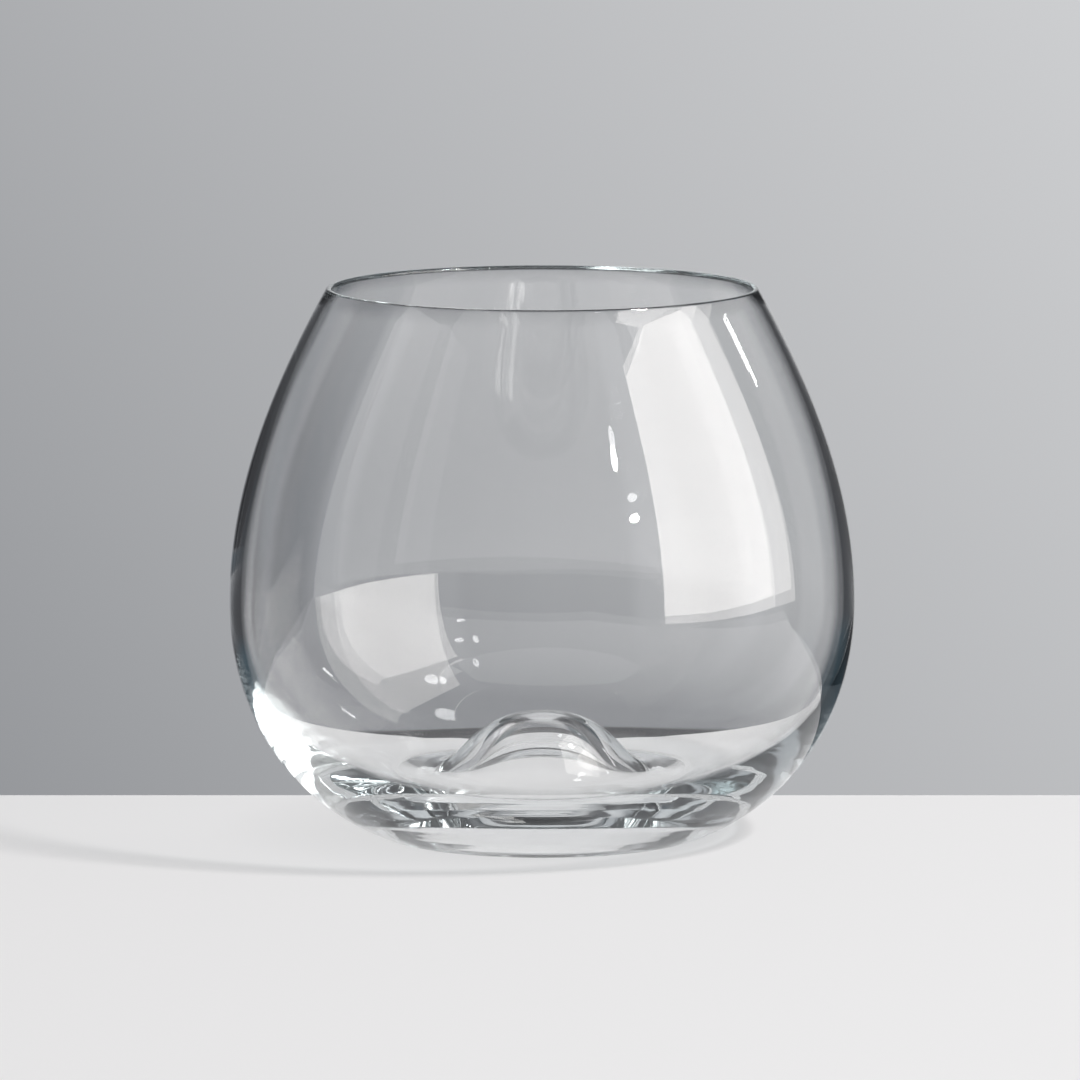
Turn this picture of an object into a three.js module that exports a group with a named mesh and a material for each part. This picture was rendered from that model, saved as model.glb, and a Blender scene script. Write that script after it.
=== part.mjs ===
// Stemless gin glass: a round-bellied crystal tumbler with a bell-shaped dimple pushed up in its thick base.
// Millimetres, +Z up, origin at the centre of the standing face.
// The glass is one turned section, divided into the regions that a glassmaker names. Each region is a
// ring or a disc about +Z, and neighbours share the points of the face where they meet.
import * as THREE from 'three';

// Outside form
const HEIGHT = 100;
const MOUTH_DIAMETER = 77.6; // across the middle of the lip
const MOUTH_LEAN = 29; // degrees from upright that the wall leans in at the lip
const BELLY_DIAMETER = 114.2;
const BELLY_HEIGHT = 42.4; // of the widest level
const FOOT_DIAMETER = 60; // of the flat standing face
const HEEL_ANGLE = 21; // degrees between the table and the heel where the heel leaves the standing face

// Glass thickness
const LIP_THICKNESS = 1.2;
const WALL_THICKNESS = 2.25; // at the belly
const FLOOR_THICKNESS = 6.5; // at the lowest ring of the floor, round the dimple
const CROWN_THICKNESS = 2.75; // over the top of the hollow under the dimple

// Dimple in the floor, and the hollow under it
const DIMPLE_DIAMETER = 44.2; // where its skirt runs out into the floor
const DIMPLE_RISE = 13.9; // from the floor to its top
const HOLLOW_DIAMETER = 56.4; // of its mouth in the standing face
const HOLLOW_FLARE = 88; // degrees from upright that the hollow's side flares at its mouth

// Levels that divide the glass into its regions
const RIM_BAND = 4; // height of the rim, down from the top of the lip
const SHOULDER_START = 8; // from the widest level up to the foot of the shoulder
const HEEL_RISE = 13.5; // from the floor up to the top of the heel
const FOOT_RING_HEIGHT = 2;

// Fullness of the curves: each handle's length as a share of the run that its curve makes
const HEEL_PULL = 0.585;
const OUTER_BELLY_PULL = 0.52; // below the widest level
const INNER_BELLY_PULL = 0.667; // below the widest level
const BELLY_PULL_ABOVE = 0.312;
const MOUTH_PULL = 0.426;
const FLOOR_PULL = 0.474;
const DIMPLE_TOP_PULL = 0.7;
const SKIRT_PULL = 0.37;
const HOLLOW_SIDE_PULL = 1.253;
const HOLLOW_TOP_PULL = 0.493;

// Fineness of the facets
const SEGMENTS = 48; // round the axis
const WALL_STEPS = 8; // along a long stretch of a curve
const BAND_STEPS = 2; // along a short one
const LIP_STEPS = 6; // over the lip
const HALVINGS = 50; // of the search for a level on a curve

const mouthRadius = MOUTH_DIAMETER / 2;
const bellyRadius = BELLY_DIAMETER / 2;
const innerBellyRadius = bellyRadius - WALL_THICKNESS;
const footRadius = FOOT_DIAMETER / 2;
const dimpleRadius = DIMPLE_DIAMETER / 2;
const hollowRadius = HOLLOW_DIAMETER / 2;
const floorLevel = FLOOR_THICKNESS;
const dimpleTop = floorLevel + DIMPLE_RISE;
const hollowTop = dimpleTop - CROWN_THICKNESS;
const rimLevel = HEIGHT - RIM_BAND;
const shoulderLevel = BELLY_HEIGHT + SHOULDER_START;
const heelLevel = floorLevel + HEEL_RISE;
const lean = THREE.MathUtils.degToRad(MOUTH_LEAN);
const heelAngle = THREE.MathUtils.degToRad(HEEL_ANGLE);
const flare = THREE.MathUtils.degToRad(HOLLOW_FLARE);

/** A point of the section: distance from the axis, and height. */
function at(radius, height) {
  return new THREE.Vector2(radius, height);
}

/** A point reached from another by going a distance along a direction, as an angle above level. */
function along(point, angle, distance) {
  return at(point.x + distance * Math.cos(angle), point.y + distance * Math.sin(angle));
}

/** Parameter at which a curve that only rises reaches a height. */
function parameterAt(curve, height) {
  let low = 0;
  let high = 1;
  for (let step = 0; step < HALVINGS; step += 1) {
    const middle = (low + high) / 2;
    if (curve.getPoint(middle).y < height) {
      low = middle;
    } else {
      high = middle;
    }
  }
  return (low + high) / 2;
}

/** Points of a curve from one parameter to another, in that order. */
function stretch(curve, from, to, steps = WALL_STEPS) {
  const points = [];
  for (let step = 0; step <= steps; step += 1) {
    points.push(curve.getPoint(THREE.MathUtils.lerp(from, to, step / steps)));
  }
  return points;
}

// The lip is half a circle across the end of the leaning wall, and its highest point is the glass's height.
const lipRadius = LIP_THICKNESS / 2;
const lipCentre = at(mouthRadius, HEIGHT - lipRadius);
const lip = new THREE.EllipseCurve(
  lipCentre.x, lipCentre.y, lipRadius, lipRadius, lean, lean + Math.PI, false,
);
const lipOutside = lip.getPoint(0);
const lipInside = lip.getPoint(1);
const downTheWall = lean - Math.PI / 2; // direction from the lip down along the wall

/** Rising curve of the lower wall, from a start with its handle up to the belly, where it stands upright. */
function lowerWall(start, startHandle, radius, pull) {
  const rise = BELLY_HEIGHT - start.y;
  const bellyHandle = at(radius, BELLY_HEIGHT - pull * rise);
  return new THREE.CubicBezierCurve(start, startHandle, bellyHandle, at(radius, BELLY_HEIGHT));
}

/** Rising curve of the upper wall, from upright at the belly to the lip, where it leans in. */
function upperWall(radius, lipEnd) {
  const rise = lipEnd.y - BELLY_HEIGHT;
  const bellyHandle = at(radius, BELLY_HEIGHT + BELLY_PULL_ABOVE * rise);
  const lipHandle = along(lipEnd, downTheWall, MOUTH_PULL * rise);
  return new THREE.CubicBezierCurve(at(radius, BELLY_HEIGHT), bellyHandle, lipHandle, lipEnd);
}

const footEdge = at(footRadius, 0);
const heelHandle = along(footEdge, heelAngle, HEEL_PULL * (bellyRadius - footRadius));
const outerLower = lowerWall(footEdge, heelHandle, bellyRadius, OUTER_BELLY_PULL);
const outerUpper = upperWall(bellyRadius, lipOutside);

const floorEdge = at(dimpleRadius, floorLevel);
const floorHandle = at(THREE.MathUtils.lerp(dimpleRadius, innerBellyRadius, FLOOR_PULL), floorLevel);
const innerLower = lowerWall(floorEdge, floorHandle, innerBellyRadius, INNER_BELLY_PULL);
const innerUpper = upperWall(innerBellyRadius, lipInside);

// The dimple's upper face rises from level at the floor to level at its top.
const dimpleFace = new THREE.CubicBezierCurve(
  floorEdge,
  at(dimpleRadius * (1 - SKIRT_PULL), floorLevel),
  at(dimpleRadius * DIMPLE_TOP_PULL, dimpleTop),
  at(0, dimpleTop),
);

// The hollow under it is a bell: it flares at its mouth in the standing face and closes in a level top.
const hollowMouth = at(hollowRadius, 0);
const hollowFace = new THREE.CubicBezierCurve(
  hollowMouth,
  along(hollowMouth, Math.PI / 2 + flare, HOLLOW_SIDE_PULL * hollowTop),
  at(hollowRadius * HOLLOW_TOP_PULL, hollowTop),
  at(0, hollowTop),
);

// Where the dividing levels cross the curves
const outerAtRim = parameterAt(outerUpper, rimLevel);
const innerAtRim = parameterAt(innerUpper, rimLevel);
const outerAtShoulder = parameterAt(outerUpper, shoulderLevel);
const innerAtShoulder = parameterAt(innerUpper, shoulderLevel);
const outerAtHeel = parameterAt(outerLower, heelLevel);
const innerAtHeel = parameterAt(innerLower, heelLevel);
const outerAtFootRing = parameterAt(outerLower, FOOT_RING_HEIGHT);
const hollowAtFootRing = parameterAt(hollowFace, FOOT_RING_HEIGHT);

/** Closed section of the rim: up the outside, over the lip and down the inside. */
function rimSection() {
  return [
    ...stretch(outerUpper, outerAtRim, 1, BAND_STEPS),
    ...lip.getPoints(LIP_STEPS).slice(1, -1),
    ...stretch(innerUpper, 1, innerAtRim, BAND_STEPS),
    outerUpper.getPoint(outerAtRim),
  ];
}

/** Closed section of the shoulder: up the outside from the belly to the rim, and down the inside. */
function shoulderSection() {
  return [
    ...stretch(outerUpper, outerAtShoulder, outerAtRim),
    ...stretch(innerUpper, innerAtRim, innerAtShoulder),
    outerUpper.getPoint(outerAtShoulder),
  ];
}

/** Closed section of the belly: up the outside past the widest level, and down the inside. */
function bellySection() {
  return [
    ...stretch(outerLower, outerAtHeel, 1),
    ...stretch(outerUpper, 0, outerAtShoulder, BAND_STEPS).slice(1),
    ...stretch(innerUpper, innerAtShoulder, 0, BAND_STEPS),
    ...stretch(innerLower, 1, innerAtHeel).slice(1),
    outerLower.getPoint(outerAtHeel),
  ];
}

/** Closed section of the heel: up the outside from the foot ring, then down the inside to the floor. */
function heelSection() {
  return [
    ...stretch(outerLower, outerAtFootRing, outerAtHeel),
    ...stretch(innerLower, innerAtHeel, 0),
    at(dimpleRadius, FOOT_RING_HEIGHT),
    outerLower.getPoint(outerAtFootRing),
  ];
}

/** Section of the dimple from the hollow's top, down the hollow, out to the skirt and up to the axis. */
function dimpleSection() {
  return [
    ...stretch(hollowFace, 1, hollowAtFootRing),
    at(dimpleRadius, FOOT_RING_HEIGHT),
    ...stretch(dimpleFace, 0, 1),
  ];
}

/** Closed section of the foot ring: the standing face, the start of the heel and the hollow's mouth. */
function footRingSection() {
  return [
    ...stretch(outerLower, 0, outerAtFootRing, BAND_STEPS),
    ...stretch(hollowFace, hollowAtFootRing, 0, BAND_STEPS),
    footEdge,
  ];
}

/** Clear crystal, tinted as the region looks through its own depth of glass. */
function crystal(colour) {
  return new THREE.MeshStandardMaterial({
    color: colour,
    roughness: 0.02,
    metalness: 0,
    transparent: true,
    opacity: 0.35,
  });
}

/** One region of the glass, turned from its section. */
function turned(name, section, colour) {
  const mesh = new THREE.Mesh(new THREE.LatheGeometry(section, SEGMENTS), crystal(colour));
  mesh.name = name;
  return mesh;
}

const ginGlass = new THREE.Group();
ginGlass.add(
  turned('rim', rimSection(), '#e6ebec'),
  turned('shoulder', shoulderSection(), '#dde3e5'),
  turned('belly', bellySection(), '#d3dbde'),
  turned('heel', heelSection(), '#b4c1c7'),
  turned('dimple', dimpleSection(), '#c6d0d4'),
  turned('foot_ring', footRingSection(), '#aab8be'),
);
ginGlass.rotation.x = Math.PI / 2; // the lathe turns about +Y, and the glass stands along +Z

export default ginGlass;
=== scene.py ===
"""Stemless gin glass of clear crystal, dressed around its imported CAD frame.

The real glass is one body of blown crystal, so one closed mesh stands for every region of the CAD model,
because a face inside the glass would show wherever the glass refracts. The mesh is a section turned about +Z,
with the small unevenness of blown glass worked into its inside face.
"""

import logging
import math
from dataclasses import dataclass, field
from enum import Enum
from typing import Any, NamedTuple

import bpy
import numpy as np
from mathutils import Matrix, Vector
from numpy.typing import ArrayLike


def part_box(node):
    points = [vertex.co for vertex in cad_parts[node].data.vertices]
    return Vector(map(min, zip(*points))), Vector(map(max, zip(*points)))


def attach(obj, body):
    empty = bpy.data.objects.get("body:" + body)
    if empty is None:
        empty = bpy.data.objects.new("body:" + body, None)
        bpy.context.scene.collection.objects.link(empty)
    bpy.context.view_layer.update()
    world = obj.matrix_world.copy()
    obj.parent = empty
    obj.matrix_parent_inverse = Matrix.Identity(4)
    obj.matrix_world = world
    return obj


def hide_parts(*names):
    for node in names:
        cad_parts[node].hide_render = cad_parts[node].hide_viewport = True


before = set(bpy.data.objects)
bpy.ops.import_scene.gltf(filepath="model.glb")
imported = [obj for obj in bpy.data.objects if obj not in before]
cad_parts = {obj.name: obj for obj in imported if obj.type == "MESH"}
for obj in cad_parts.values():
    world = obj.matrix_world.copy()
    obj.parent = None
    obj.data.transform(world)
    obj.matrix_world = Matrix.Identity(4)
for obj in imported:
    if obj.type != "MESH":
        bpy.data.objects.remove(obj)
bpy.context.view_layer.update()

LOG = logging.getLogger("gin_glass")
MM = 0.001
PHOTO_SIDE_PX = 1080
SMOOTH = {"interpolation_type": "SMOOTHSTEP"}
COLOUR_MIX = {"data_type": "RGBA"}
WARM_WHITE = "#FFFBF7"
PALE_GREY = "#A8A9AC"
DARK_GREY = "#505154"


def linear(hex_colour: str) -> tuple[float, float, float]:
    """Turn an sRGB hex colour into linear red, green and blue.

    Args:
        hex_colour: Six hex digits after a hash sign.

    Returns:
        The three channels by the sRGB transfer curve, from 0 to 1.
    """
    channels = np.array([int(hex_colour[place:place + 2], 16) for place in (1, 3, 5)]) / 255
    curved = np.where(channels <= 0.04045, channels / 12.92, ((channels + 0.055) / 1.055) ** 2.4)
    return tuple(float(value) for value in curved)


def add_node(
    tree: bpy.types.NodeTree,
    kind: str,
    settings: dict[str, Any] | None = None,
    **sockets: Any,
) -> bpy.types.Node:
    """Add a node, then set its properties and its input sockets.

    Args:
        tree: Node tree that takes the node.
        kind: Blender's type name of the node.
        settings: Property names with their values.
        **sockets: Input sockets, as a name with underscores for spaces or as i0, i1 and so on, each with a
            value or with the output socket that feeds it.

    Returns:
        The new node.
    """
    node = tree.nodes.new(kind)
    for name, value in (settings or {}).items():
        setattr(node, name, value)
    for name, value in sockets.items():
        place = int(name[1:]) if name[0] == "i" and name[1:].isdigit() else name.replace("_", " ")
        socket = node.inputs[place]
        if isinstance(value, bpy.types.NodeSocket):
            tree.links.new(value, socket)
        else:
            socket.default_value = value
    return node


def curve(points: list[ArrayLike], count: int) -> np.ndarray:
    """Points of a cubic Bezier curve: its four points weighted by the Bernstein polynomials.

    Args:
        points: Start, start handle, end handle and end, as radius and height.
        count: Number of points to give.

    Returns:
        Array of count rows of radius and height.
    """
    start, start_handle, end_handle, end = (np.array(point, float) for point in points)
    t = np.linspace(0, 1, count)[:, None]
    s = 1 - t
    return s**3 * start + 3 * s**2 * t * start_handle + 3 * s * t**2 * end_handle + t**3 * end


def smooth_step(low: float, high: float, values: np.ndarray) -> np.ndarray:
    """Rise from 0 at low to 1 at high along the cubic 3x^2 - 2x^3."""
    x = np.clip((values - low) / (high - low), 0, 1)
    return x * x * (3 - 2 * x)


class Section(NamedTuple):
    """The section from axis to axis: each point's radius and height, and whether it is on the inside face."""

    points: np.ndarray
    inside: np.ndarray


@dataclass(frozen=True)
class FloorRings:
    """Shallow rings that blowing left in the floor round the dimple. Sizes are in millimetres.

    The inside face moves along its normal by depth times cos(2 pi r / pitch), with r the distance from the
    axis. The rings swell and fade as they go round, and die away towards their nearest and farthest radius.
    """

    nearest: float
    farthest: float
    depth: float
    pitch: float
    swells: int = 3  # times that the rings swell in one turn round the axis
    swell_share: float = 0.3  # share of the depth by which they swell and fade
    run_out: float = 0.25  # share of the rings' width over which they die away at either end

    def lift(self, section: Section, angle: np.ndarray) -> np.ndarray:
        """Work out how far each vertex moves.

        Args:
            section: The glass's section.
            angle: Angles of the section's turned copies.

        Returns:
            Distances along the normal in millimetres, one row for each point of the section.
        """
        radius = section.points[:, 0]
        ends = self.run_out * (self.farthest - self.nearest)
        window = smooth_step(self.nearest, self.nearest + ends, radius) * section.inside
        window = window * (1 - smooth_step(self.farthest - ends, self.farthest, radius))
        wave = np.cos(2 * math.pi * radius / self.pitch)
        swell = 1 - self.swell_share + self.swell_share * np.cos(self.swells * angle)
        return self.depth * (window * wave)[:, None] * swell


@dataclass(frozen=True)
class CrystalFinish:
    """Fire-polished soda crystal: clear and very smooth, blue-grey where the eye looks through much of it."""

    name: str = "fire_polished_crystal"
    ior: float = 1.52
    roughness: float = 0.0
    tint: str = "#F4F8F9"  # white light after the tint depth
    tint_depth_mm: float = 60.0
    density_per_m: float = 12.0
    swell_mm: float = 16.0  # spacing of the slow waves that blowing leaves in the skin
    swell_depth_mm: float = 0.010
    wall_pass: float = 0.995  # share of the floor's light that one face lets straight through
    edge_pass: float = 0.6  # the same where the light only grazes the face
    grazing_from: float = 0.7  # turn of the face where that loss begins, 0 being square on and 1 edge on
    base_pass: float = 0.95  # share left at the bottom of the thick base, which bends the light away
    base_top_mm: float = 16.0

    def straight_light(self, tree: bpy.types.NodeTree, place: bpy.types.NodeSocket) -> bpy.types.NodeSocket:
        """Make the surface that light on its way to the floor meets, which lets it through unbent.

        Args:
            tree: The crystal's node tree.
            place: Object coordinates.

        Returns:
            A clear surface that loses more where light grazes it and lower down in the base.
        """
        facing = add_node(tree, "ShaderNodeLayerWeight", Blend=0.5)
        passed = add_node(
            tree, "ShaderNodeMapRange", Value=facing.outputs["Facing"], From_Min=self.grazing_from,
            From_Max=1.0, To_Min=self.wall_pass, To_Max=self.edge_pass,
        )
        split = add_node(tree, "ShaderNodeSeparateXYZ", Vector=place)
        low = add_node(
            tree, "ShaderNodeMapRange", Value=split.outputs["Z"], From_Min=0.0,
            From_Max=self.base_top_mm * MM, To_Min=self.base_pass, To_Max=1.0,
        )
        shade = add_node(
            tree, "ShaderNodeMath", {"operation": "MULTIPLY"}, i0=passed.outputs[0], i1=low.outputs[0],
        )
        return add_node(tree, "ShaderNodeBsdfTransparent", Color=shade.outputs[0]).outputs["BSDF"]

    def material(self) -> bpy.types.Material:
        """Build the crystal's material.

        Returns:
            A refracting surface over a volume that absorbs the tint. The light on its way to the floor goes
            straight through instead, so that the shadow is soft and pale.
        """
        made = bpy.data.materials.new(self.name)
        made.use_nodes = True
        tree = made.node_tree
        tree.nodes.clear()
        place = add_node(tree, "ShaderNodeTexCoord").outputs["Object"]
        swell = add_node(
            tree, "ShaderNodeTexNoise", Vector=place, Scale=1 / (self.swell_mm * MM), Detail=1.0,
            Roughness=0.4,
        )
        bump = add_node(
            tree, "ShaderNodeBump", Strength=1.0, Distance=self.swell_depth_mm * MM,
            Height=swell.outputs["Fac"],
        )
        surface = add_node(
            tree, "ShaderNodeBsdfPrincipled", Base_Color=(1, 1, 1, 1), Roughness=self.roughness,
            IOR=self.ior, Transmission_Weight=1.0, Normal=bump.outputs["Normal"],
        )
        path = add_node(tree, "ShaderNodeLightPath")
        floor_light = add_node(
            tree, "ShaderNodeMath", {"operation": "MAXIMUM"}, i0=path.outputs["Is Shadow Ray"],
            i1=path.outputs["Is Diffuse Ray"],
        )
        lit = add_node(
            tree, "ShaderNodeMixShader", i0=floor_light.outputs[0], i1=surface.outputs["BSDF"],
            i2=self.straight_light(tree, place),
        )
        # Absorption leaves exp(-density (1 - colour) depth) of the light, so the tint gives the colour.
        spent = -np.log(np.array(linear(self.tint))) / (self.density_per_m * self.tint_depth_mm * MM)
        volume = add_node(
            tree, "ShaderNodeVolumeAbsorption", Color=(*(1 - spent), 1), Density=self.density_per_m,
        )
        add_node(
            tree, "ShaderNodeOutputMaterial", Surface=lit.outputs["Shader"],
            Volume=volume.outputs["Volume"],
        )
        return made


@dataclass
class CrystalGlass:
    """The glass's one body. Sizes are in millimetres, and the main ones come from the CAD frame.

    A pull is the length of a curve's handle as a share of the run that the curve makes.
    """

    height: float = field(default_factory=lambda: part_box("rim")[1].z / MM)
    belly_radius: float = field(default_factory=lambda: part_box("belly")[1].x / MM)
    dimple_radius: float = field(default_factory=lambda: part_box("dimple")[1].x / MM)
    dimple_top: float = field(default_factory=lambda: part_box("dimple")[1].z / MM)
    mouth_radius: float = 38.8  # to the middle of the lip
    mouth_lean: float = math.radians(29)  # of the wall at the lip, from upright
    belly_height: float = 42.4  # of the widest level
    foot_radius: float = 30.0
    heel_angle: float = math.radians(21)  # between the table and the heel
    lip_thickness: float = 1.2
    wall_thickness: float = 2.25  # at the belly
    floor_level: float = 6.5
    crown_thickness: float = 2.75  # over the top of the hollow
    hollow_radius: float = 28.2  # at its mouth in the standing face
    hollow_flare: float = math.radians(88)  # of the hollow's side at its mouth, from upright
    heel_pull: float = 0.585
    outer_belly_pull: float = 0.52
    inner_belly_pull: float = 0.667
    belly_pull_above: float = 0.312
    mouth_pull: float = 0.426
    floor_pull: float = 0.474
    dimple_top_pull: float = 0.70
    skirt_pull: float = 0.37
    hollow_side_pull: float = 1.253
    hollow_top_pull: float = 0.493
    wall_drift: float = 0.28  # of the inside face towards +X, at its most
    drift_start: float = 22.0  # height at which the drift begins
    drift_full: float = 48.0  # height at which it is at its most
    rings: tuple[FloorRings, ...] = (
        FloorRings(nearest=20.0, farthest=36.0, depth=0.03, pitch=5.0),
        FloorRings(nearest=22.0, farthest=36.0, depth=0.01, pitch=2.4),
    )
    segments: int = 288  # round the axis
    floor_points: int = 40  # along the dimple, and along the hollow under it
    lower_points: int = 96  # along either face of the lower wall
    upper_points: int = 24  # along either face of the upper wall
    lip_points: int = 12
    standing_points: int = 6

    def lower_wall(
        self, start: tuple[float, float], handle: tuple[float, float], radius: float, pull: float,
    ) -> np.ndarray:
        """Rising curve of the lower wall, which stands upright at the belly.

        Args:
            start: Radius and height of its lower end.
            handle: Handle of that end.
            radius: Radius of the face at the belly.
            pull: Pull of the handle at the belly.

        Returns:
            The curve's points.
        """
        rise = self.belly_height - start[1]
        belly_handle = (radius, self.belly_height - pull * rise)
        return curve([start, handle, belly_handle, (radius, self.belly_height)], self.lower_points)

    def upper_wall(self, radius: float, lip_end: np.ndarray) -> np.ndarray:
        """Rising curve of the upper wall, from upright at the belly to the lip, where it leans in.

        Args:
            radius: Radius of the face at the belly.
            lip_end: End of the lip that the face runs into.

        Returns:
            The curve's points.
        """
        rise = lip_end[1] - self.belly_height
        belly_handle = (radius, self.belly_height + self.belly_pull_above * rise)
        down_wall = np.array([math.sin(self.mouth_lean), -math.cos(self.mouth_lean)])
        lip_handle = lip_end + self.mouth_pull * rise * down_wall
        return curve([(radius, self.belly_height), belly_handle, lip_handle, lip_end], self.upper_points)

    def lip(self) -> np.ndarray:
        """Half circle over the end of the leaning wall.

        Returns:
            Its points from the inside of the wall to the outside.
        """
        lip_radius = self.lip_thickness / 2
        turn = self.mouth_lean + np.linspace(math.pi, 0, self.lip_points)
        centre = np.array([self.mouth_radius, self.height - lip_radius])
        return centre + lip_radius * np.stack([np.cos(turn), np.sin(turn)], axis=1)

    def inside(self, lip_end: np.ndarray) -> np.ndarray:
        """Inside face: over the dimple, out along the floor and up the wall.

        Args:
            lip_end: Inside end of the lip, which isn't repeated here.

        Returns:
            Its points from the dimple's top.
        """
        inner_radius = self.belly_radius - self.wall_thickness
        floor_edge = (self.dimple_radius, self.floor_level)
        floor_run = self.floor_pull * (inner_radius - self.dimple_radius)
        floor_handle = (self.dimple_radius + floor_run, self.floor_level)
        dimple = curve([
            (0, self.dimple_top), (self.dimple_radius * self.dimple_top_pull, self.dimple_top),
            (self.dimple_radius * (1 - self.skirt_pull), self.floor_level), floor_edge,
        ], self.floor_points)
        lower = self.lower_wall(floor_edge, floor_handle, inner_radius, self.inner_belly_pull)
        upper = self.upper_wall(inner_radius, lip_end)
        return np.concatenate([dimple[:-1], lower[:-1], upper[:-1]])

    def outside(self, lip: np.ndarray) -> np.ndarray:
        """Outside face: over the lip, down the wall and in along the heel.

        Args:
            lip: The lip's points.

        Returns:
            Its points from the lip to the edge of the foot.
        """
        heel_run = self.heel_pull * (self.belly_radius - self.foot_radius)
        heel_handle = (
            self.foot_radius + heel_run * math.cos(self.heel_angle), heel_run * math.sin(self.heel_angle),
        )
        upper = self.upper_wall(self.belly_radius, lip[-1])
        lower = self.lower_wall((self.foot_radius, 0), heel_handle, self.belly_radius, self.outer_belly_pull)
        return np.concatenate([lip[:-1], upper[:0:-1], lower[::-1]])

    def underside(self) -> np.ndarray:
        """Underside: in along the standing ring and up the bell of the hollow.

        Returns:
            Its points from beside the edge of the foot to the hollow's top.
        """
        hollow_top = self.dimple_top - self.crown_thickness
        side_run = self.hollow_side_pull * hollow_top
        side_handle = (
            self.hollow_radius - side_run * math.sin(self.hollow_flare),
            side_run * math.cos(self.hollow_flare),
        )
        hollow = curve([
            (self.hollow_radius, 0), side_handle,
            (self.hollow_radius * self.hollow_top_pull, hollow_top), (0, hollow_top),
        ], self.floor_points)
        standing = np.linspace((self.foot_radius, 0), (self.hollow_radius, 0), self.standing_points)
        return np.concatenate([standing[1:-1], hollow])

    def section(self) -> Section:
        """Work out the section from the dimple's top, up the inside, down the outside and into the hollow.

        Returns:
            The section's points in millimetres, with the inside face marked.
        """
        lip = self.lip()
        inside = self.inside(lip[0])
        points = np.concatenate([inside, self.outside(lip), self.underside()])
        return Section(points, np.arange(len(points)) < len(inside))

    def mesh(self) -> bpy.types.Mesh:
        """Turn the section about +Z into one closed mesh.

        A vertex is (r cos a, r sin a, z), moved along the section's normal by the rings. The inside face is
        then carried sideways by the wall drift, which rises from its start to its full height and falls away
        up to the lip, so one wall is thicker than the other, as blown walls are.

        Returns:
            The mesh in metres, smooth, with its faces pointing out of the glass.
        """
        section = self.section()
        angle = np.linspace(0, 2 * math.pi, self.segments, endpoint=False)
        along = np.gradient(section.points, axis=0)
        along /= np.linalg.norm(along, axis=1)[:, None]
        lift = np.zeros((len(along), len(angle)))
        for rings in self.rings:
            lift += rings.lift(section, angle)
        radius, height = section.points[1:-1, 0], section.points[1:-1, 1]
        turned = radius[:, None] - (along[:, 1:] * lift)[1:-1]
        drift = smooth_step(self.drift_start, self.drift_full, height) * section.inside[1:-1]
        drift = drift * (1 - smooth_step(self.drift_full, self.height - self.lip_thickness, height))
        x = turned * np.cos(angle) + (self.wall_drift * drift)[:, None]
        y = turned * np.sin(angle)
        z = height[:, None] + (along[:, :1] * lift)[1:-1]
        circles = np.stack([x, y, z], axis=2).reshape(-1, 3)
        poles = np.array([[0, 0, self.dimple_top], [0, 0, self.dimple_top - self.crown_thickness]])
        vertices = np.concatenate([poles, circles]) * MM
        place = len(poles) + np.arange(len(circles)).reshape(len(radius), self.segments)
        beside = np.roll(place, -1, axis=1)
        quads = np.stack([place[:-1], place[1:], beside[1:], beside[:-1]], axis=2).reshape(-1, 4)
        top = np.stack([np.zeros_like(place[0]), place[0], beside[0]], axis=1)
        under = np.stack([np.ones_like(place[-1]), beside[-1], place[-1]], axis=1)
        made = bpy.data.meshes.new("crystal_glass")
        made.from_pydata(vertices.tolist(), [], quads.tolist() + top.tolist() + under.tolist())
        made.polygons.foreach_set("use_smooth", np.ones(len(made.polygons), bool))
        made.update()
        return made

    def build(self, finish: CrystalFinish) -> bpy.types.Object:
        """Make the glass as one piece that stands for every CAD region.

        Args:
            finish: The crystal's finish.

        Returns:
            The finished piece, riding on the root body.
        """
        piece = bpy.data.objects.new("crystal_glass", self.mesh())
        bpy.context.scene.collection.objects.link(piece)
        piece.data.materials.append(finish.material())
        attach(piece, "root")
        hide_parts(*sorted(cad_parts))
        return piece


class Stand(Enum):
    """How a lamp is set up."""

    FACING = "facing the glass"
    UPRIGHT = "upright"


class Role(Enum):
    """What a lamp is for."""

    FLOOR = "lights the table and doesn't show"
    SHOWN = "shows in the glass and through it"
    MIRRORED = "shows only as a reflection in the glass"


@dataclass(frozen=True)
class Lamp:
    """A softbox, board or bulb, placed by its direction from the glass.

    Azimuth turns from +Y towards +X. Angles are in degrees and lengths in metres.
    """

    name: str
    azimuth: float
    elevation: float
    distance: float
    width: float
    height: float
    radiance: float
    role: Role = Role.SHOWN
    stand: Stand = Stand.FACING
    is_round: bool = False
    colour: str = "#FFFFFF"

    def build(self, aim: Vector) -> bpy.types.Object:
        """Add the lamp to the scene, facing the glass.

        Args:
            aim: Point that the lamp faces.

        Returns:
            The lamp. Its power is radiance times pi times its area.
        """
        light = bpy.data.lights.new(self.name, "AREA")
        light.shape = "ELLIPSE" if self.is_round else "RECTANGLE"
        light.size, light.size_y = self.width, self.height
        area = self.width * self.height * (math.pi / 4 if self.is_round else 1)
        light.energy = self.radiance * math.pi * area
        light.color = linear(self.colour)
        lamp = bpy.data.objects.new(self.name, light)
        turn, lift = math.radians(self.azimuth), math.radians(self.elevation)
        towards = Vector((math.sin(turn) * math.cos(lift), math.cos(turn) * math.cos(lift), math.sin(lift)))
        lamp.location = aim + self.distance * towards
        if self.stand is Stand.UPRIGHT:
            towards.z = 0
        lamp.rotation_euler = (-towards).to_track_quat("-Z", "Y").to_euler()
        lamp.visible_camera = self.role is Role.SHOWN
        lamp.visible_transmission = self.role is Role.SHOWN
        lamp.visible_glossy = self.role is not Role.FLOOR
        lamp.visible_diffuse = self.role is Role.FLOOR
        bpy.context.scene.collection.objects.link(lamp)
        return lamp


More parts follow.
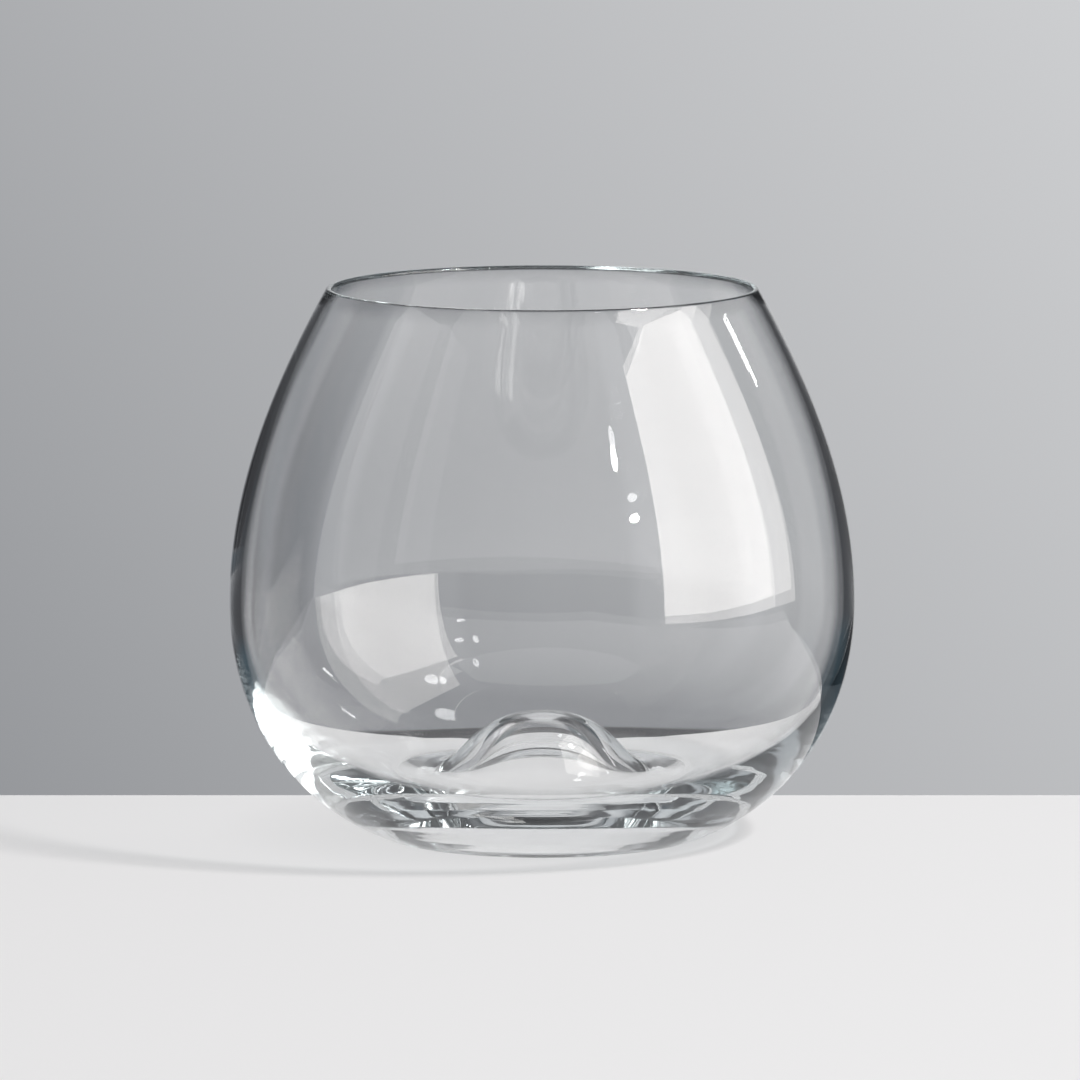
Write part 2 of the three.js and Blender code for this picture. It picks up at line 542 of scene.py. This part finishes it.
@dataclass(frozen=True)
class Board:
    """One upright board of the ring round the glass, with its angles in degrees.

    A board without a colour of its own is the one behind the glass, which is shaded.
    """

    azimuth: float
    half_width: float
    colour: str | None = None

    def share(
        self, tree: bpy.types.NodeTree, azimuth: bpy.types.NodeSocket, fade: float,
    ) -> bpy.types.NodeSocket:
        """Work out how much of a direction the board fills: a smooth step of the cosine of the angle between.

        Args:
            tree: The world's node tree.
            azimuth: The direction's azimuth in radians.
            fade: Degrees over which the board fades, to either side of its edge.

        Returns:
            1 on the board and 0 beside it.
        """
        aside = add_node(
            tree, "ShaderNodeMath", {"operation": "SUBTRACT"}, i0=azimuth, i1=math.radians(self.azimuth),
        )
        near = add_node(tree, "ShaderNodeMath", {"operation": "COSINE"}, i0=aside.outputs[0])
        return add_node(
            tree, "ShaderNodeMapRange", SMOOTH, Value=near.outputs[0],
            From_Min=math.cos(math.radians(self.half_width + fade)),
            From_Max=math.cos(math.radians(self.half_width - fade)),
        ).outputs[0]


@dataclass(frozen=True)
class StoneFinish:
    """Honed white stone: matt and pale, so that it takes the glass's shadow and no glare."""

    name: str = "white_stone"
    colour: str = "#F0EFEF"
    roughness: float = 0.8

    def material(self) -> bpy.types.Material:
        """Build the stone's material.

        Returns:
            A matt surface without gloss.
        """
        made = bpy.data.materials.new(self.name)
        made.use_nodes = True
        surface = made.node_tree.nodes["Principled BSDF"]
        surface.inputs["Base Color"].default_value = (*linear(self.colour), 1)
        surface.inputs["Roughness"].default_value = self.roughness
        surface.inputs["Specular IOR Level"].default_value = 0.0
        return made


@dataclass
class Studio:
    """Table, backdrop, lamps and camera. Lengths are in metres and angles in degrees."""

    table_back: float = 0.0385
    table_front: float = -1.4
    table_left: float = -1.2
    table_right: float = 0.42
    table_depth: float = 0.5
    stone: StoneFinish = StoneFinish()
    back_shaded: str = "#8B8D91"  # back board at its darkest
    back_lit: str = "#CDCED0"  # back board at its palest
    back_level: float = 0.94  # share of the pale colour straight ahead at the horizon
    back_lean: float = 4.3  # gain of that share towards +X
    back_lift: float = 3.2  # gain of that share upwards
    gap_colour: str = "#46474A"  # between the boards
    low_gap_colour: str = "#44525A"  # the same, towards the floor
    low_gap_from: float = 9.0  # below the horizon
    low_gap_fade: float = 5.0
    # Painted shade: the shadowed gap behind the table's back edge, below the boards, is drawn dark in the
    # world
    shadow_gap_top: float = -0.844  # Z of a direction to the top of the painted shadow under the boards, at either side
    shadow_gap_turn: float = 0.45  # how much higher that is straight ahead
    shadow_gap_fade: float = 0.008
    ceiling_colour: str = "#212225"
    ceiling_from: float = 42.0
    ceiling_fade: float = 12.0
    board_fade: float = 3.0
    boards: tuple[Board, ...] = (
        Board(0.0, 12.0),
        Board(-46.0, 11.0, "#B0B1B4"),
        Board(46.0, 10.0, "#707174"),
        Board(-91.0, 8.0, PALE_GREY),
        Board(90.0, 10.0, PALE_GREY),
        Board(-135.0, 11.0, DARK_GREY),
        Board(135.0, 11.0, PALE_GREY),
        Board(180.0, 11.0, DARK_GREY),
    )
    # Name, azimuth, elevation, distance, width, height and radiance
    lamps: tuple[Lamp, ...] = (
        Lamp("floor_light", 108.8, 50.0, 4.0, 0.6, 0.6, 150.0, Role.FLOOR),
        Lamp("side_softbox", 112.0, 23.5, 0.9, 0.735, 0.85, 4.4, stand=Stand.UPRIGHT, colour=WARM_WHITE),
        Lamp("softbox_wing", 82.4, 21.7, 0.97, 0.175, 0.85, 2.4, stand=Stand.UPRIGHT, colour=WARM_WHITE),
        Lamp("top_board", 103.0, 50.0, 1.0, 0.62, 0.2, 1.7, Role.MIRRORED),
        Lamp("left_board", -103.0, 22.0, 1.8, 0.83, 1.9, 1.2, Role.MIRRORED, Stand.UPRIGHT),
        Lamp("left_board_shaded", -122.5, 22.0, 1.8, 0.32, 1.9, 0.8, Role.MIRRORED, Stand.UPRIGHT),
        Lamp("left_board_end", -133.0, 22.0, 1.8, 0.29, 1.9, 0.4, Role.MIRRORED, Stand.UPRIGHT),
        Lamp("front_wall", -175.0, 57.3, 3.15, 4.2, 4.5, 0.8, Role.MIRRORED, Stand.UPRIGHT),
        Lamp("key_lamp", 108.8, 53.4, 0.9, 0.132, 0.132, 120.0, is_round=True),
        Lamp("low_bulb", 144.2, 19.8, 1.5, 0.1, 0.045, 75.0, is_round=True),
        Lamp("high_bulb", 148.9, 31.0, 1.5, 0.06, 0.12, 30.0, is_round=True),
        Lamp("thin_strip", 64.5, 23.0, 1.5, 0.045, 0.14, 16.0),
    )
    camera_place: tuple[float, float, float] = (0.0, -1.5008, 0.2567)
    camera_aim: tuple[float, float, float] = (0.0, 0.0, 0.0536)
    focal_px: float = 8301.0
    axis_px: float = 542.3  # column of the photograph that the glass's axis stands in
    sensor_mm: float = 36.0
    bounces: int = 48  # light runs round inside the thick heel many times before it leaves
    glossy_bounces: int = 40  # total reflections count as glossy
    glass_bounces: int = 24  # through faces of the glass, bent or straight

    def table(self) -> bpy.types.Object:
        """Add the plain white table that the glass stands on.

        Returns:
            A block whose back edge lies just behind the glass's foot.
        """
        low = np.array([self.table_left, self.table_front, -self.table_depth])
        high = np.array([self.table_right, self.table_back, 0.0])
        corner = np.indices((2, 2, 2)).reshape(3, -1).T[:, ::-1]
        faces = [(0, 2, 3, 1), (4, 5, 7, 6), (0, 1, 5, 4), (2, 6, 7, 3), (0, 4, 6, 2), (1, 3, 7, 5)]
        made = bpy.data.meshes.new("table")
        made.from_pydata((low + corner * (high - low)).tolist(), [], faces)
        made.materials.append(self.stone.material())
        piece = bpy.data.objects.new("table", made)
        bpy.context.scene.collection.objects.link(piece)
        return piece

    def back_board(self, tree: bpy.types.NodeTree, direction: bpy.types.Node) -> bpy.types.NodeSocket:
        """Colour of the board behind the glass, which grows paler to the right and upwards.

        Args:
            tree: The world's node tree.
            direction: X, Y and Z of the direction.

        Returns:
            The colour: the share of the pale one is level + lean X + lift Z, from 0 to 1.
        """
        lean = add_node(
            tree, "ShaderNodeMath", {"operation": "MULTIPLY_ADD"}, i0=direction.outputs["X"],
            i1=self.back_lean, i2=self.back_level,
        )
        pale = add_node(
            tree, "ShaderNodeMath", {"operation": "MULTIPLY_ADD", "use_clamp": True},
            i0=direction.outputs["Z"], i1=self.back_lift, i2=lean.outputs[0],
        )
        return add_node(
            tree, "ShaderNodeMix", COLOUR_MIX, i0=pale.outputs[0], i6=(*linear(self.back_shaded), 1),
            i7=(*linear(self.back_lit), 1),
        ).outputs[2]

    def gaps(self, tree: bpy.types.NodeTree, height: bpy.types.NodeSocket) -> bpy.types.NodeSocket:
        """Colour of the gaps between the boards, which turns bluer below the table.

        Args:
            tree: The world's node tree.
            height: Z of the direction.

        Returns:
            The colour.
        """
        low = add_node(
            tree, "ShaderNodeMapRange", SMOOTH, Value=height,
            From_Min=math.sin(math.radians(-self.low_gap_from)),
            From_Max=math.sin(math.radians(-self.low_gap_from - self.low_gap_fade)),
        )
        return add_node(
            tree, "ShaderNodeMix", COLOUR_MIX, i0=low.outputs[0], i6=(*linear(self.gap_colour), 1),
            i7=(*linear(self.low_gap_colour), 1),
        ).outputs[2]

    def foot(
        self, tree: bpy.types.NodeTree, azimuth: bpy.types.NodeSocket, height: bpy.types.NodeSocket,
    ) -> bpy.types.NodeSocket:
        """Work out how much of a direction the painted shadow below the boards, behind the table's back edge,
        fills.

        Args:
            tree: The world's node tree.
            azimuth: The direction's azimuth in radians.
            height: Z of the direction.

        Returns:
            1 below the height level + turn cos(azimuth), and 0 above it.
        """
        ahead = add_node(tree, "ShaderNodeMath", {"operation": "COSINE"}, i0=azimuth)
        top = add_node(
            tree, "ShaderNodeMath", {"operation": "MULTIPLY_ADD"}, i0=ahead.outputs[0], i1=self.shadow_gap_turn,
            i2=self.shadow_gap_top,
        )
        above = add_node(tree, "ShaderNodeMath", {"operation": "SUBTRACT"}, i0=height, i1=top.outputs[0])
        return add_node(
            tree, "ShaderNodeMapRange", SMOOTH, Value=above.outputs[0], From_Min=self.shadow_gap_fade,
            From_Max=-self.shadow_gap_fade,
        ).outputs[0]

    def ceiling(self, tree: bpy.types.NodeTree, height: bpy.types.NodeSocket) -> bpy.types.NodeSocket:
        """Share of a direction that the dark ceiling fills: a smooth step of the direction's Z."""
        return add_node(
            tree, "ShaderNodeMapRange", SMOOTH, Value=height,
            From_Min=math.sin(math.radians(self.ceiling_from)),
            From_Max=math.sin(math.radians(self.ceiling_from + self.ceiling_fade)),
        ).outputs[0]

    def backdrop(self) -> bpy.types.World:
        """Make the world a ring of grey boards with dark gaps between them, under a dark ceiling.

        Returns:
            The scene's world.
        """
        world = bpy.data.worlds.new("studio")
        bpy.context.scene.world = world
        world.use_nodes = True
        tree = world.node_tree
        tree.nodes.clear()
        place = add_node(tree, "ShaderNodeTexCoord")
        direction = add_node(tree, "ShaderNodeSeparateXYZ", Vector=place.outputs["Generated"])
        height = direction.outputs["Z"]
        azimuth = add_node(
            tree, "ShaderNodeMath", {"operation": "ARCTAN2"}, i0=direction.outputs["X"],
            i1=direction.outputs["Y"],
        ).outputs[0]
        behind = self.back_board(tree, direction)
        layers = []
        for board in self.boards:
            shade = (*linear(board.colour), 1) if board.colour else behind
            layers.append((board.share(tree, azimuth, self.board_fade), shade))
        # Painted shade: the shadowed gap below the boards, behind the table's back edge, in the gaps' dark
        # colour
        layers.append((self.foot(tree, azimuth, height), (*linear(self.gap_colour), 1)))
        layers.append((self.ceiling(tree, height), (*linear(self.ceiling_colour), 1)))
        colour = self.gaps(tree, height)
        for share, shade in layers:
            colour = add_node(tree, "ShaderNodeMix", COLOUR_MIX, i0=share, i6=colour, i7=shade).outputs[2]
        light = add_node(tree, "ShaderNodeBackground", Color=colour, Strength=1.0)
        add_node(tree, "ShaderNodeOutputWorld", Surface=light.outputs[0])
        return world

    def camera(self) -> bpy.types.Object:
        """Stand the camera where the photograph was taken from.

        Returns:
            The scene's camera. The lens is the focal length in pixels times the sensor's width in millimetres
            over the photograph's in pixels.
        """
        data = bpy.data.cameras.new("camera")
        data.sensor_width = self.sensor_mm
        data.lens = self.focal_px / PHOTO_SIDE_PX * self.sensor_mm
        data.shift_x = (PHOTO_SIDE_PX / 2 - self.axis_px) / PHOTO_SIDE_PX
        made = bpy.data.objects.new("camera", data)
        made.location = self.camera_place
        sight = Vector(self.camera_aim) - Vector(self.camera_place)
        made.rotation_euler = sight.to_track_quat("-Z", "Y").to_euler()
        bpy.context.scene.collection.objects.link(made)
        bpy.context.scene.camera = made
        return made

    def build(self) -> None:
        """Set up the table, the backdrop, the lamps and the camera."""
        bpy.context.scene.view_settings.view_transform = "Standard"
        paths = bpy.context.scene.cycles
        paths.max_bounces = self.bounces
        paths.glossy_bounces = self.glossy_bounces
        paths.transmission_bounces = self.glass_bounces
        paths.transparent_max_bounces = self.glass_bounces
        self.table()
        self.backdrop()
        self.camera()
        for lamp in self.lamps:
            LOG.info("lamp %s", lamp.build(Vector(self.camera_aim)).name)


def main() -> None:
    """Build the glass and its studio, and report each piece."""
    logging.basicConfig(level=logging.INFO)
    Studio().build()
    piece = CrystalGlass().build(CrystalFinish())
    LOG.info("%s: %d faces", piece.name, len(piece.data.polygons))


if __name__ == "__main__":
    main()
